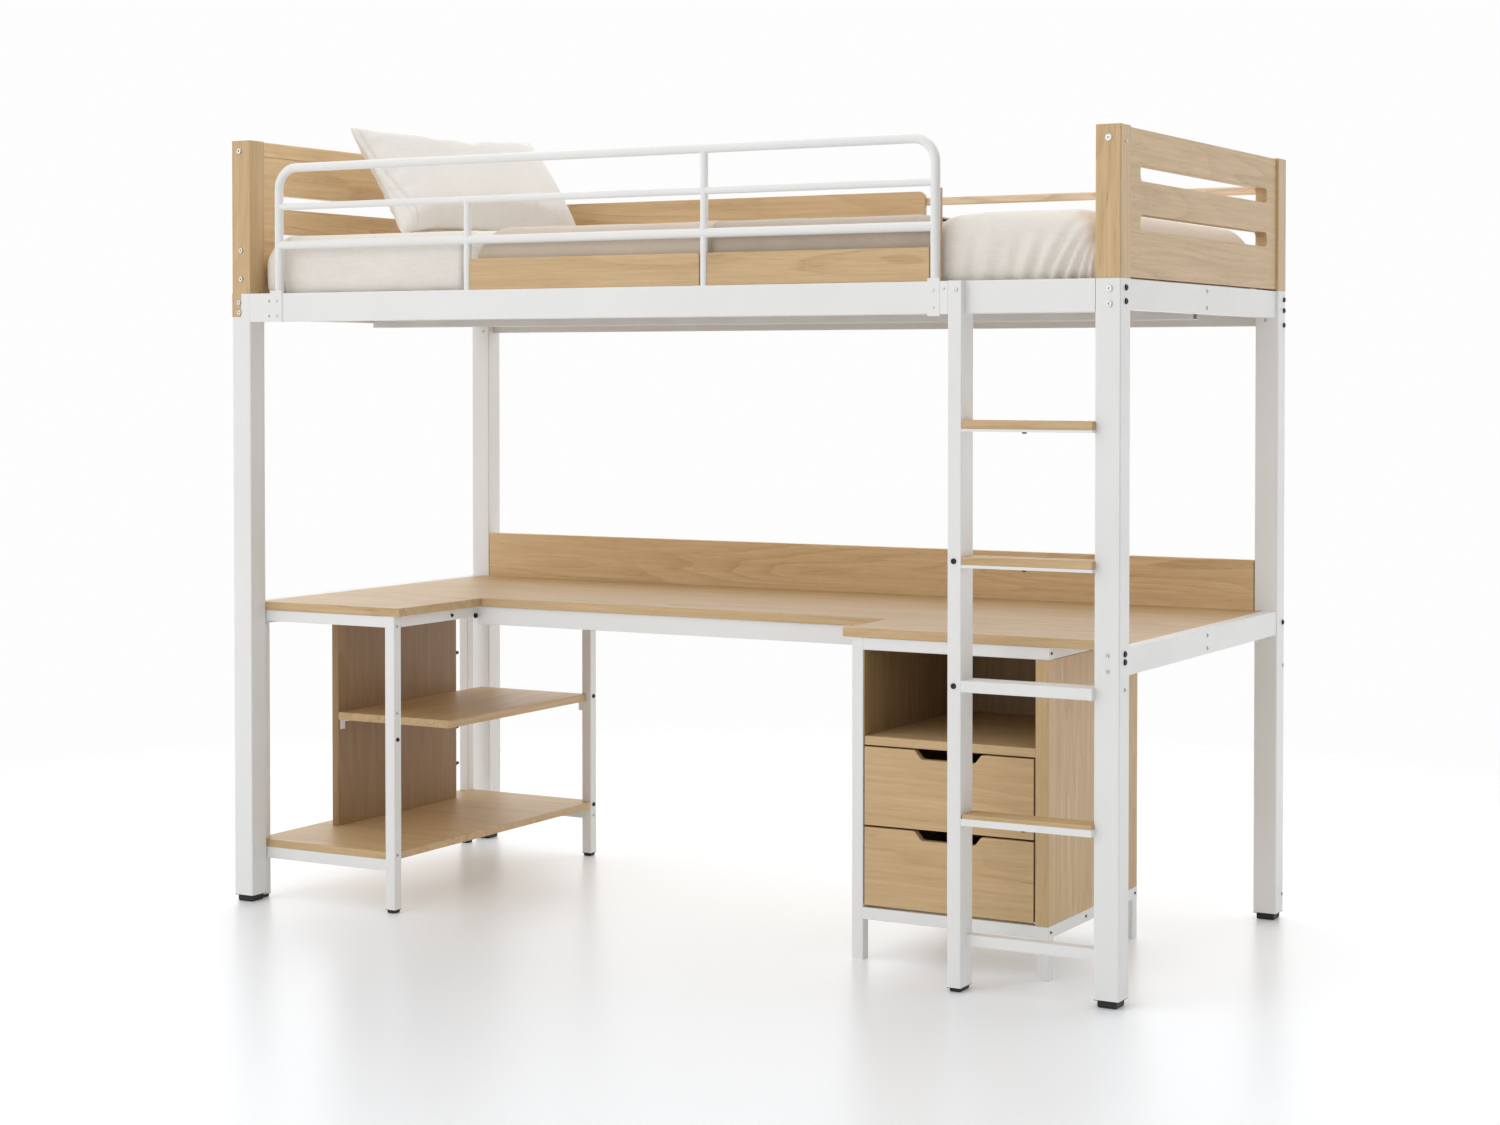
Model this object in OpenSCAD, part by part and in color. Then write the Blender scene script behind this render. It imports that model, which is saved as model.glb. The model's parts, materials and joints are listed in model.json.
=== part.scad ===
// Loft bed with a desk, an open shelf unit, a drawer pedestal and a ladder.
// +X runs along the bed to the ladder end, +Y to the back, +Z up.
// The origin is on the floor under the middle of the whole object.

/* [Bed frame] */
// Length over the posts
bed_len = 2080; // [2060:10:2140]
// Width over the posts
bed_width = 960; // [950:5:1000]
// Side of the square steel posts
post = 50; // [46:1:54]
// Wall of the steel post tubes
post_wall = 2; // [1.5:0.5:3]
// Height of the black feet under the posts
foot_h = 15; // [10:1:20]
// Height of the top of the steel posts and side rails
rail_top = 1341; // [1320:1:1380]
// Depth of the front side rail
front_rail_h = 62; // [56:1:70]
// Depth of the rear side rail
rear_rail_h = 74; // [66:1:80]
// Thickness of the side rails
rail_t = 28; // [26:1:30]
// Depth of the end beams at bed level
end_beam_h = 57; // [50:1:60]
// Thickness of the end beams
end_beam_t = 25; // [22:1:28]

/* [Headboard and footboard] */
// Height of the top of the headboard
headboard_top = 1677; // [1650:1:1720]
// Height of the top of the footboard
footboard_top = 1622; // [1600:1:1640]
// Thickness of both panels
panel_t = 25; // [20:1:28]
// Height of the cap rail on the headboard
cap_h = 33; // [28:1:40]
// Height of the slots in both panels
slot_h = 30; // [24:1:34]
// Length of the slots
slot_len = 736; // [650:2:760]

/* [Guard] */
// Height of the centre of the top guard tube
guard_top = 1613; // [1590:1:1620]
// Diameter of the guard frame tube and the lowest bar
guard_d = 19; // [16:1:22]
// Diameter of the thin middle bar and the short uprights
guard_bar_d = 15; // [12:1:16]
// Height of the boards in the guard above the rail
guard_board_h = 65; // [50:1:80]

/* [Bedding] */
// Thickness of the mattress
mattress_h = 150; // [120:5:160]
// Number of slats
slat_count = 14; // [10:1:18]
// Length of the pillow along its top edge
pillow_len = 590; // [520:10:620]

/* [Desk] */
// Height of the desk's surface
desk_top = 661; // [640:1:700]
// Thickness of the boards
board_t = 18; // [15:1:20]
// Height of the backsplash above the desk
backsplash_h = 107; // [80:1:140]
// Distance from the front of the posts to the front edge of the middle of the desk
desk_main_front = 355; // [320:5:400]

/* [Shelf unit] */
// Side of the square tube of the shelf unit and the pedestal
leg = 25; // [22:1:28]
// Depth of the shelf unit
unit_depth = 807; // [780:1:820]
// Height of the top of the middle shelf
mid_shelf_top = 393; // [360:1:420]
// Height of the top of the bottom shelf
bottom_shelf_top = 132; // [120:1:140]
// Thickness of the bottom shelf's boards
shelf_t = 16; // [12:1:18]

/* [Drawer pedestal] */
// Width of the pedestal over its legs
ped_width = 423; // [415:1:435]
// Thickness of the pedestal's right panel
ped_side_t = 28; // [20:1:30]
// Depth of the pedestal
ped_depth = 470; // [450:5:480]
// Height of the top of the open cubby's floor
cubby_floor_top = 447; // [440:1:455]
// Height of each drawer front
drawer_front_h = 156; // [150:1:158]

/* [Ladder] */
// Width of the ladder's outer stile
stile_w = 28; // [25:1:32]
// Depth of the stile
stile_d = 55; // [50:1:58]
// How far the ladder stands in front of the posts
ladder_proud = 18; // [15:1:20]
// Depth of the treads
tread_d = 55; // [50:1:58]

/* [Hidden] */

steel_colour = [0.90, 0.90, 0.89];
wood_colour = [0.82, 0.67, 0.48];
black_colour = [0.05, 0.05, 0.05];
bolt_colour = [0.72, 0.72, 0.72];
cloth_colour = [0.92, 0.88, 0.83];
runner_colour = [0.65, 0.66, 0.68];

eps = 0.01;
bolt_head_t = 3;

// The posts' front faces, set so that the ladder in front and the bolts behind
// leave the origin in the middle of the whole object.
x_left = -bed_len / 2;
x_right = bed_len / 2;
y_front = (ladder_proud - bed_width) / 2;
y_rear = y_front + bed_width;
y_middle = (y_front + y_rear) / 2;

// Bed level
slat_t = 13;
slat_w = 60;
slat_top = rail_top - 19;
ledge_t = 3;
ledge_w = 22;
front_rail_bottom = rail_top - front_rail_h;
end_beam_recess = 5;
tongue_depth = 51;
shadow_gap = 3;
mattress_len = 1984;
mattress_width = 892;
mattress_r = 40;
throw_left = x_left + 1205;

// Desk level
tube_corner_r = 2;
desk_under = desk_top - board_t;
end_tube_h = 51;
end_tube_t = 28;
desk_left_edge = x_left + 2 + end_tube_t;
desk_right_edge = x_right - 2 - end_tube_t;
desk_front_left = y_front + post;
desk_rear = y_rear - post;
left_wing_right = x_left + 415;
right_wing_left = x_left + 1436;
right_wing_front = y_front + 146;

// Shelf unit
unit_left = x_left + 13;
unit_right = x_left + 399;
unit_front = y_front + 53;
unit_left_top = desk_top - end_tube_h;
unit_rear = unit_front + unit_depth;
side_panel_x = x_left + 60;
side_panel_front = y_front + 270;
side_panel_rear = y_front + 731;
small_foot_h = 8;
leg_cap_t = 2;
bottom_rail_low = bottom_shelf_top - shelf_t - leg;

// Pedestal
ped_left = x_left + 1455;
ped_right = ped_left + ped_width;
ped_front = y_front + 150;
ped_rear = ped_front + ped_depth;
ped_base_low = 81;
ped_base_top = ped_base_low + leg - 1;
bay_left = ped_left + leg;
bay_right = ped_right - ped_side_t;
reveal = 3;
lining_t = 3;
runner_gap = 13;
drawer_front_t = 18;
drawer_wall = 12;
drawer_box_len = 420;
drawer_box_h = 122;
upper_drawer_low = cubby_floor_top - board_t - reveal - drawer_front_h;
lower_drawer_low = upper_drawer_low - reveal - 1 - drawer_front_h;
notch_top_w = 145;
notch_bottom_w = 113;
notch_depth = 18;
runner_len = 400;
runner_h = 35;
runner_sheet = 1.2;

// Ladder
stile_left = x_left + 1742;
stile_right = stile_left + stile_w;
ladder_front = y_front - ladder_proud;
rung_left = stile_right;
rung_right = x_right - post;
rung_flange = 3;
tread_t = 16;
// Tops of the three wooden treads, and of the bare steel rung and the crossbar
tread_tops = [1079, 823, 338];
lip_heights = [4, 5, 12];
steel_rung_top = 590;
crossbar_top = 107;
rung_h = 22;

// Guard
guard_y = y_front + 10;
guard_left = x_left + 124;
guard_right = x_left + 1703;
guard_bend_r = 46;
middle_bar_z = 1529;
low_bar_z = 1445;
short_upright_x = x_left + 625;
full_upright_x = x_left + 1197;

// ---------- shared shapes ----------

// A rectangle with round corners, its lower left corner at the origin
module round_rect(w, h, r) {
    translate([r, 0]) square([w - 2 * r, h]);
    translate([0, r]) square([w, h - 2 * r]);
    for (x = [r, w - r], y = [r, h - r])
        translate([x, y]) circle(r = r, $fn = 24);
}

// Box bars with their long edges rounded, from a low corner to a high corner
module bar_z(a, b, r = tube_corner_r) {
    translate(a) linear_extrude(b.z - a.z) round_rect(b.x - a.x, b.y - a.y, r);
}

module bar_x(a, b, r = tube_corner_r) {
    translate(a) rotate([90, 0, 90]) linear_extrude(b.x - a.x) round_rect(b.y - a.y, b.z - a.z, r);
}

module bar_y(a, b, r = tube_corner_r) {
    translate([a.x, b.y, a.z]) rotate([90, 0, 0]) linear_extrude(b.y - a.y)
        round_rect(b.x - a.x, b.z - a.z, r);
}

// A plain box from a low corner to a high corner
module slab(a, b) {
    translate(a) cube(b - a);
}

// The empty inside of a tube: open ends reach past the box along the given axis
module core(a, b, wall, axis) {
    reach = [for (i = [0:2]) i == axis ? -1 : wall];
    slab(a + reach, b - reach);
}

module tube_x(a, b, wall = 1.5) {
    difference() {
        bar_x(a, b);
        core(a, b, wall, 0);
    }
}

module tube_y(a, b, wall = 1.5) {
    difference() {
        bar_y(a, b);
        core(a, b, wall, 1);
    }
}

// A foot: a plug inside the tube, a thin flange under its wall and a narrower block below
module foot(cx, cy, w, d, h, wall) {
    inset = 2 * wall + 0.6;
    flange_t = 1.2;
    translate([cx - (w - inset) / 2, cy - (d - inset) / 2, h - 1])
        cube([w - inset, d - inset, 15]);
    translate([cx - w * 0.49, cy - d * 0.49, h - flange_t])
        cube([w * 0.98, d * 0.98, flange_t - eps]);
    hull() {
        translate([cx - w * 0.38, cy - d * 0.38, 3]) cube([w * 0.76, d * 0.76, h - 4]);
        translate([cx - w * 0.35, cy - d * 0.35, 0]) cube([w * 0.7, d * 0.7, 1]);
    }
}

// A socket-head bolt's head, its seat at the origin, facing +Z
module bolt_head(d = 13, t = bolt_head_t) {
    difference() {
        union() {
            cylinder(d = d, h = t * 0.4, $fn = 32);
            cylinder(d = d * 0.8, h = t, $fn = 32);
        }
        translate([0, 0, t * 0.5]) cylinder(d = d * 0.42, h = t, $fn = 6);
    }
}

module facing_front(p) translate(p) rotate([90, 0, 0]) children();
module facing_rear(p) translate(p) rotate([-90, 0, 0]) children();
module facing_right(p) translate(p) rotate([0, 90, 0]) children();
module facing_left(p) translate(p) rotate([0, -90, 0]) children();

// ---------- bed frame ----------

// One square steel post with its low corner at x, y
module steel_post(x, y, notch_side = 0) {
    color(steel_colour) difference() {
        bar_z([x, y, foot_h], [x + post, y + post, rail_top], 3);
        slab([x + post_wall, y + post_wall, 0],
             [x + post - post_wall, y + post - post_wall, rail_top - 3]);
        if (notch_side != 0)
            slab([x - 1, y - 1, rail_top - tongue_depth], [x + post / 2, y + post + 1, rail_top + 1]);
    }
}

module steel_post_front_left() steel_post(x_left, y_front, 1);
module steel_post_front_right() steel_post(x_right - post, y_front);
module steel_post_rear_left() steel_post(x_left, y_rear - post, 1);
module steel_post_rear_right() steel_post(x_right - post, y_rear - post);

module frame_feet() color(black_colour) {
    for (x = [x_left + post / 2, x_right - post / 2], y = [y_front + post / 2, y_rear - post / 2])
        foot(x, y, post, post, foot_h, post_wall);
    foot((stile_left + stile_right) / 2, ladder_front + stile_d / 2, stile_w, stile_d, 9, 2);
}

// A side rail between the posts with a ledge inside it that carries the slats
module side_rail(outer_y, inner_y, height) {
    low = min(outer_y, inner_y);
    high = max(outer_y, inner_y);
    ledge_low = inner_y > outer_y ? inner_y - eps : inner_y - ledge_w;
    color(steel_colour) {
        tube_x([x_left + post, low, rail_top - height], [x_right - post, high, rail_top]);
        slab([x_left + post + 4, ledge_low, slat_top - slat_t - ledge_t],
             [x_right - post - 4, ledge_low + ledge_w + eps, slat_top - slat_t]);
    }
}

module front_side_rail() side_rail(y_front, y_front + rail_t, front_rail_h);
module rear_side_rail() side_rail(y_rear, y_rear - rail_t, rear_rail_h);

module bed_end_beams() color(steel_colour)
    for (x = [x_left + end_beam_recess, x_right - end_beam_recess - end_beam_t])
        tube_y([x, y_front + post, rail_top - end_beam_h], [x + end_beam_t, y_rear - post, rail_top]);

module slat_support_beam() color(steel_colour)
    tube_x([x_left + end_beam_recess + end_beam_t, y_middle - 12.5, slat_top - slat_t - 36],
           [x_right - end_beam_recess - end_beam_t, y_middle + 12.5, slat_top - slat_t]);

module bed_slats() color(wood_colour) {
    first = x_left + 75;
    pitch = (bed_len - 150 - slat_w) / (slat_count - 1);
    for (i = [0 : slat_count - 1])
        slab([first + i * pitch, y_front + rail_t + 2, slat_top - slat_t],
             [first + i * pitch + slat_w, y_rear - rail_t - 2, slat_top]);
}

// ---------- headboard, footboard ----------

// A wooden post on top of a steel one; the headboard's posts have a tongue that
// drops down the outside of the steel post
module wood_post(x, y, top, tongue) {
    color(wood_colour) {
        bar_z([x, y, rail_top], [x + post, y + post, top], 2);
        if (tongue)
            slab([x, y, rail_top - tongue_depth], [x + post / 2 - 0.1, y + post, rail_top + 1]);
    }
}

module wood_post_front_left() wood_post(x_left, y_front, headboard_top, true);
module wood_post_front_right() wood_post(x_right - post, y_front, footboard_top, false);
module wood_post_rear_left() wood_post(x_left, y_rear - post, headboard_top, true);
module wood_post_rear_right() wood_post(x_right - post, y_rear - post, footboard_top, false);

// A board across the bed's end with two round-ended slots
module slotted_panel(x, low, high, slot_lows) {
    difference() {
        slab([x, y_front + post, low], [x + panel_t, y_rear - post, high]);
        for (z = slot_lows)
            translate([x - 1, y_middle - slot_len / 2, z]) rotate([90, 0, 90])
                linear_extrude(panel_t + 2) round_rect(slot_len, slot_h, 11);
    }
}

module headboard_panel() color(wood_colour)
    slotted_panel(x_left + 17, rail_top, headboard_top - cap_h, [1447, 1532]);

module headboard_cap_rail() color(wood_colour)
    slab([x_left + 15, y_front + post, headboard_top - cap_h],
         [x_left + 19 + panel_t, y_rear - post, headboard_top]);

module footboard_panel() color(wood_colour)
    slotted_panel(x_right - 5 - panel_t, rail_top + shadow_gap, footboard_top - 2, [1432, 1524]);

// ---------- guards ----------

// The bent top tube with its two legs, and the bars, as solid rods
module guard_rods(shrink) {
    r = guard_d / 2 - shrink;
    bar_r = guard_bar_d / 2 - shrink;
    bend = guard_bend_r;
    leg_low = rail_top - (shrink > 0 ? 1 : 0);
    for (x = [guard_left, guard_right])
        translate([x, guard_y, leg_low]) cylinder(r = r, h = guard_top - bend - leg_low, $fn = 48);
    translate([guard_left + bend, guard_y, guard_top]) rotate([0, 90, 0])
        cylinder(r = r, h = guard_right - guard_left - 2 * bend, $fn = 48);
    translate([guard_left + bend, guard_y, guard_top - bend]) rotate([90, 0, 0])
        rotate([0, 0, 90]) rotate_extrude(angle = 90, $fn = 64) translate([bend, 0]) circle(r = r, $fn = 48);
    translate([guard_right - bend, guard_y, guard_top - bend]) rotate([90, 0, 0])
        rotate_extrude(angle = 90, $fn = 64) translate([bend, 0]) circle(r = r, $fn = 48);
    translate([guard_left, guard_y, low_bar_z]) rotate([0, 90, 0])
        cylinder(r = r - 0.2, h = guard_right - guard_left, $fn = 48);
    translate([guard_left, guard_y, middle_bar_z]) rotate([0, 90, 0])
        cylinder(r = bar_r, h = guard_right - guard_left, $fn = 48);
    translate([short_upright_x, guard_y, leg_low])
        cylinder(r = bar_r + 0.5, h = middle_bar_z - leg_low, $fn = 48);
    translate([full_upright_x, guard_y, leg_low])
        cylinder(r = bar_r + 0.5, h = guard_top - leg_low, $fn = 48);
}

// Flat plates on the rail's face that hold the guard's legs
module guard_plates() {
    plate_t = 2.5;
    y = y_front - plate_t;
    slab([guard_left - 16, y, front_rail_bottom], [guard_left + 16, y_front, rail_top + 6]);
    slab([guard_left - 70, y + 1, front_rail_bottom], [guard_left - 16 + eps, y_front, rail_top]);
    slab([guard_right - 11, y, front_rail_bottom - 4], [guard_right + 14, y_front, rail_top + 6]);
    slab([guard_right + 14 - eps, y + 1, front_rail_bottom], [guard_right + 31, y_front, rail_top]);
    for (x = [guard_left, guard_right])
        slab([x - 8, y, rail_top + 0.2], [x + 8, guard_y - 2, rail_top + 6]);
}

module front_guard_rail() color(steel_colour) {
    difference() {
        guard_rods(0);
        guard_rods(1.5);
    }
    guard_plates();
}

// The two boards between the guard's uprights, and the batten behind its right leg
module guard_boards() color(wood_colour) {
    gap = 1;
    r = guard_bar_d / 2 + 0.5 + gap;
    slab([short_upright_x + r, guard_y - 6, rail_top], [full_upright_x - r, guard_y + 6, rail_top + guard_board_h]);
    slab([full_upright_x + r, guard_y - 6, rail_top],
         [guard_right - guard_d / 2 - gap, guard_y + 6, rail_top + guard_board_h]);
    slab([guard_right - 8, guard_y + guard_d / 2 + 0.3, rail_top],
         [guard_right + 7, guard_y + guard_d / 2 + 8.3, middle_bar_z - 10]);
}

module back_guard_rail() color(wood_colour)
    bar_x([x_left + post, y_rear - 18, 1549], [x_right - post, y_rear - 4, 1567], 4);

module back_board() color(wood_colour) {
    x0 = x_left + 210;
    x1 = x_left + 1242;
    y0 = y_rear - 30;
    corner = 16;
    translate([x0, y0 + 12, rail_top]) rotate([90, 0, 0]) linear_extrude(12) {
        square([x1 - x0, 240 - corner]);
        translate([corner, 0]) square([x1 - x0 - 2 * corner, 240]);
        for (x = [corner, x1 - x0 - corner])
            translate([x, 240 - corner]) circle(r = corner, $fn = 48);
    }
}

// ---------- desk ----------

module desk_end_beams() color(steel_colour)
    for (x = [x_left + 2, x_right - 2 - end_tube_t])
        tube_y([x, y_front + post, desk_top - end_tube_h], [x + end_tube_t, y_rear - post, desk_top]);

module desk_cross_beams() color(steel_colour) {
    tube_x([unit_right, y_front + desk_main_front + 8, desk_under - 41],
           [ped_left, y_front + desk_main_front + 33, desk_under]);
    tube_x([desk_left_edge, desk_rear - 27, desk_under - 38], [desk_right_edge, desk_rear - 2, desk_under]);
}

module desk_board_left() color(wood_colour)
    slab([desk_left_edge, desk_front_left, desk_under], [left_wing_right, desk_rear, desk_top]);

module desk_board_middle() color(wood_colour)
    slab([left_wing_right, y_front + desk_main_front, desk_under], [right_wing_left, desk_rear, desk_top]);

module desk_board_right() color(wood_colour)
    slab([right_wing_left, right_wing_front, desk_under], [desk_right_edge, desk_rear, desk_top]);

module desk_backsplash() color(wood_colour)
    slab([x_left + post + 2, desk_rear, desk_under - 25], [x_right - post - 2, desk_rear + 18, desk_top + backsplash_h]);

// ---------- shelf unit ----------

// Two legs joined by a top and a bottom rail, hollow inside, across the unit at y.
// The left leg ends under the desk's end beam, and the top rail meets the beam's side.
module unit_frame(y) {
    low = small_foot_h;
    tops = [unit_left_top, desk_under];
    lefts = [unit_left, unit_right - leg];
    difference() {
        union() {
            for (i = [0, 1])
                bar_z([lefts[i], y, low], [lefts[i] + leg, y + leg, tops[i]]);
            bar_x([unit_left + 3, y, bottom_rail_low], [unit_right - 3, y + leg, bottom_rail_low + leg]);
            bar_x([desk_left_edge, y, desk_under - leg], [unit_right - 3, y + leg, desk_under]);
        }
        for (i = [0, 1])
            slab([lefts[i] + 1.5, y + 1.5, low - 1], [lefts[i] + leg - 1.5, y + leg - 1.5, tops[i] - 1.5]);
        slab([unit_left + 6, y + 1.5, bottom_rail_low + 1.5],
             [unit_right - 6, y + leg - 1.5, bottom_rail_low + leg - 1.5]);
        slab([desk_left_edge + 2, y + 1.5, desk_under - leg + 1.5], [unit_right - 6, y + leg - 1.5, desk_under - 1.5]);
    }
}

module shelf_unit_front_frame() color(steel_colour) unit_frame(unit_front);
module shelf_unit_rear_frame() color(steel_colour) unit_frame(unit_rear - leg);

// A rail under the desk along the unit's right side, and one under the bottom shelf
module shelf_unit_rails() color(steel_colour) {
    tube_y([unit_right - leg, unit_front + leg, desk_under - leg], [unit_right, unit_rear - leg, desk_under]);
    centre = (unit_left + unit_right) / 2;
    tube_y([centre - 10, unit_front + leg, bottom_rail_low + 5], [centre + 10, unit_rear - leg, bottom_rail_low + leg]);
}

module shelf_side_panel() color(wood_colour)
    slab([side_panel_x, side_panel_front, bottom_shelf_top],
         [side_panel_x + board_t, side_panel_rear, desk_under]);

module shelf_middle_board() color(wood_colour)
    slab([side_panel_x + board_t, side_panel_front, mid_shelf_top - board_t],
         [unit_right - 13, unit_rear - leg, mid_shelf_top]);

// Two boards on the bottom rails, cut out around the legs
module shelf_bottom_boards() color(wood_colour) {
    seam = 0.6;
    fit = 0.5;
    z0 = bottom_shelf_top - shelf_t;
    difference() {
        union() {
            slab([unit_left + 2, unit_front + 1, z0], [unit_right - 1, side_panel_front - seam, bottom_shelf_top]);
            slab([unit_left + 2, side_panel_front, z0], [unit_right - 1, unit_rear - 1, bottom_shelf_top]);
        }
        for (x = [unit_left, unit_right - leg], y = [unit_front, unit_rear - leg])
            slab([x - fit, y - fit, z0 - 1], [x + leg + fit, y + leg + fit, bottom_shelf_top + 1]);
    }
}

// An angle bracket with its inner corner at the origin, legs along +X and -Z
module angle_bracket(w = 16, arm = 22, t = 2) {
    slab([0, -w / 2, -t], [arm, w / 2, 0]);
    slab([0, -w / 2, -arm], [t, w / 2, -t + eps]);
}

module shelf_brackets() color(steel_colour) {
    for (y = [side_panel_front + 14, side_panel_rear - 24])
        translate([side_panel_x + board_t, y, mid_shelf_top - board_t]) angle_bracket();
    translate([unit_right - leg, unit_rear - leg, mid_shelf_top - board_t]) rotate([0, 0, -90]) angle_bracket();
    translate([side_panel_x + board_t + 30, unit_rear - leg - 2, mid_shelf_top - board_t])
        rotate([0, 0, -90]) angle_bracket();
}

module unit_feet() color(black_colour) {
    for (x = [unit_left + leg / 2, unit_right - leg / 2], y = [unit_front + leg / 2, unit_rear - leg / 2])
        foot(x, y, leg, leg, small_foot_h, 1.5);
}

// ---------- pedestal ----------

// The two left legs with the rails between them
module pedestal_left_frame() color(steel_colour) difference() {
    union() {
        for (y = [ped_front, ped_rear - leg])
            bar_z([ped_left, y, 0], [ped_left + leg, y + leg, desk_under]);
        for (z = [ped_base_low, desk_under - leg])
            bar_y([ped_left, ped_front + 3, z], [ped_left + leg, ped_rear - 3, z + leg - (z == ped_base_low ? 1 : 0)]);
    }
    for (y = [ped_front, ped_rear - leg])
        slab([ped_left + 1.5, y + 1.5, leg_cap_t], [ped_left + leg - 1.5, y + leg - 1.5, desk_under - 1.5]);
    for (z = [ped_base_low, desk_under - leg])
        slab([ped_left + 1.5, ped_front + 6, z + 1.5], [ped_left + leg - 1.5, ped_rear - 6, z + leg - 2.5]);
}

// A front, a right and a rear rail welded into a U, from z to z + h
module pedestal_ring(z, h) {
    for (y = [ped_front, ped_rear - leg])
        bar_x([bay_left, y, z], [ped_right, y + leg, z + h]);
    bar_y([ped_right - leg, ped_front + 3, z], [ped_right, ped_rear - 3, z + h]);
}

module ring_core(z, h) {
    for (y = [ped_front, ped_rear - leg])
        slab([bay_left - 1, y + 1.5, z + 1.5], [ped_right - 1.5, y + leg - 1.5, z + h - 1.5]);
    slab([ped_right - leg + 1.5, ped_front + 6, z + 1.5], [ped_right - 1.5, ped_rear - 6, z + h - 1.5]);
}

module pedestal_top_frame() color(steel_colour) difference() {
    pedestal_ring(desk_under - leg, leg);
    ring_core(desk_under - leg, leg);
}

module pedestal_base_frame() color(steel_colour) difference() {
    union() {
        pedestal_ring(ped_base_low, leg - 1);
        for (y = [ped_front, ped_rear - leg])
            bar_z([ped_right - leg, y, 0], [ped_right, y + leg, ped_base_low + 5]);
    }
    ring_core(ped_base_low, leg - 1);
    for (y = [ped_front, ped_rear - leg])
        slab([ped_right - leg + 1.5, y + 1.5, leg_cap_t], [ped_right - 1.5, y + leg - 1.5, ped_base_low + 6]);
}

// The panel between the left legs, with a thin lining in front of the legs beside the cubby
module pedestal_left_panel() color(wood_colour) {
    lining_low = cubby_floor_top - board_t;
    slab([bay_left - board_t, ped_front + leg, ped_base_top], [bay_left, ped_rear - leg, desk_under - leg]);
    translate([0, 0, lining_low]) linear_extrude(desk_under - leg - lining_low)
        polygon([[bay_left - 5, ped_front + leg], [bay_left, ped_front + leg], [bay_left, ped_front + 1],
                 [bay_left + lining_t, ped_front + 1], [bay_left + lining_t, ped_rear - 14],
                 [bay_left, ped_rear - 14], [bay_left, ped_rear - leg], [bay_left - 5, ped_rear - leg]]);
}

module pedestal_right_panel() color(wood_colour)
    slab([bay_right, ped_front, ped_base_top], [ped_right, ped_rear, desk_under - leg]);

module pedestal_back_panel() color(wood_colour)
    slab([bay_left, ped_rear - 14, ped_base_top], [bay_right, ped_rear - 8, desk_under - leg]);

module cubby_floor() color(wood_colour)
    slab([bay_left + lining_t, ped_front + 2, cubby_floor_top - board_t],
         [bay_right, ped_rear - 14, cubby_floor_top]);

// A drawer front with a slanted finger notch in its top edge
module drawer_front(low) {
    w = bay_right - bay_left - 2 * reveal;
    h = drawer_front_h;
    half_top = notch_top_w / 2;
    half_bottom = notch_bottom_w / 2;
    color(wood_colour) translate([bay_left + reveal, ped_front + drawer_front_t, low]) rotate([90, 0, 0])
        linear_extrude(drawer_front_t)
            polygon([[0, 0], [w, 0], [w, h], [w / 2 + half_top + 2, h], [w / 2 + half_top - 2, h - 1.5],
                     [w / 2 + half_bottom + 3, h - notch_depth + 2.5], [w / 2 + half_bottom - 3, h - notch_depth],
                     [w / 2 - half_bottom + 3, h - notch_depth], [w / 2 - half_bottom - 3, h - notch_depth + 2.5],
                     [w / 2 - half_top + 2, h - 1.5], [w / 2 - half_top - 2, h], [0, h]]);
}

// An open box behind the drawer front
module drawer_box(low) {
    a = [bay_left + runner_gap, ped_front + drawer_front_t, low + 8];
    b = [bay_right - runner_gap, ped_front + drawer_front_t + drawer_box_len, low + 8 + drawer_box_h];
    color(wood_colour) difference() {
        slab(a, b);
        slab([a.x + drawer_wall, a.y + drawer_wall, a.z + 12], [b.x - drawer_wall, b.y - drawer_wall, b.z + 1]);
        slab([a.x + drawer_wall, a.y - 1, a.z - 1], [b.x - drawer_wall, b.y + 1, a.z + 6]);
    }
}

module upper_drawer_front() drawer_front(upper_drawer_low);
module lower_drawer_front() drawer_front(lower_drawer_low);
module upper_drawer_box() drawer_box(upper_drawer_low);
module lower_drawer_box() drawer_box(lower_drawer_low);

// ---------- drawer runners ----------

function runner_z(low) = low + 65;

// Places a left-hand runner member on both sides of the drawer bay
module both_sides() {
    translate([bay_left, 0, 0]) children();
    translate([bay_right, 0, 0]) mirror([1, 0, 0]) children();
}

// A C-shaped rail of folded sheet, open towards +X, from y0 for the runner's length
module c_rail(x, y0, z, h, depth) {
    y1 = y0 + runner_len;
    slab([x, y0, z - h / 2], [x + runner_sheet, y1, z + h / 2]);
    slab([x, y0, z + h / 2 - runner_sheet], [x + depth, y1, z + h / 2]);
    slab([x, y0, z - h / 2], [x + depth, y1, z - h / 2 + runner_sheet]);
}

module runner_cabinet_members() color(runner_colour)
    for (low = [upper_drawer_low, lower_drawer_low])
        both_sides() c_rail(0, ped_front + leg + 4, runner_z(low), runner_h, 8);

module runner_middles(low) color(runner_colour)
    both_sides() c_rail(2.2, ped_front + leg + 6, runner_z(low), runner_h - 4, 7);

module runner_inners(low) color(runner_colour)
    both_sides() translate([runner_gap, 0, 0]) mirror([1, 0, 0])
        c_rail(0, ped_front + leg, runner_z(low), runner_h - 15, 8.4);

module upper_runner_middles() runner_middles(upper_drawer_low);
module lower_runner_middles() runner_middles(lower_drawer_low);
module upper_runner_inners() runner_inners(upper_drawer_low);
module lower_runner_inners() runner_inners(lower_drawer_low);

// ---------- ladder ----------

// The outer stile: its upper end is cut away behind, so that it hooks over the rail
module ladder_stile() color(steel_colour) difference() {
    bar_z([stile_left, ladder_front, 9], [stile_right, ladder_front + stile_d, rail_top]);
    slab([stile_left + 2, ladder_front + 2, 0], [stile_right - 2, ladder_front + stile_d - 2, rail_top - 2]);
    slab([stile_left - 1, y_front, front_rail_bottom], [stile_right + 1, ladder_front + stile_d + 1, rail_top + 1]);
}

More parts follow.
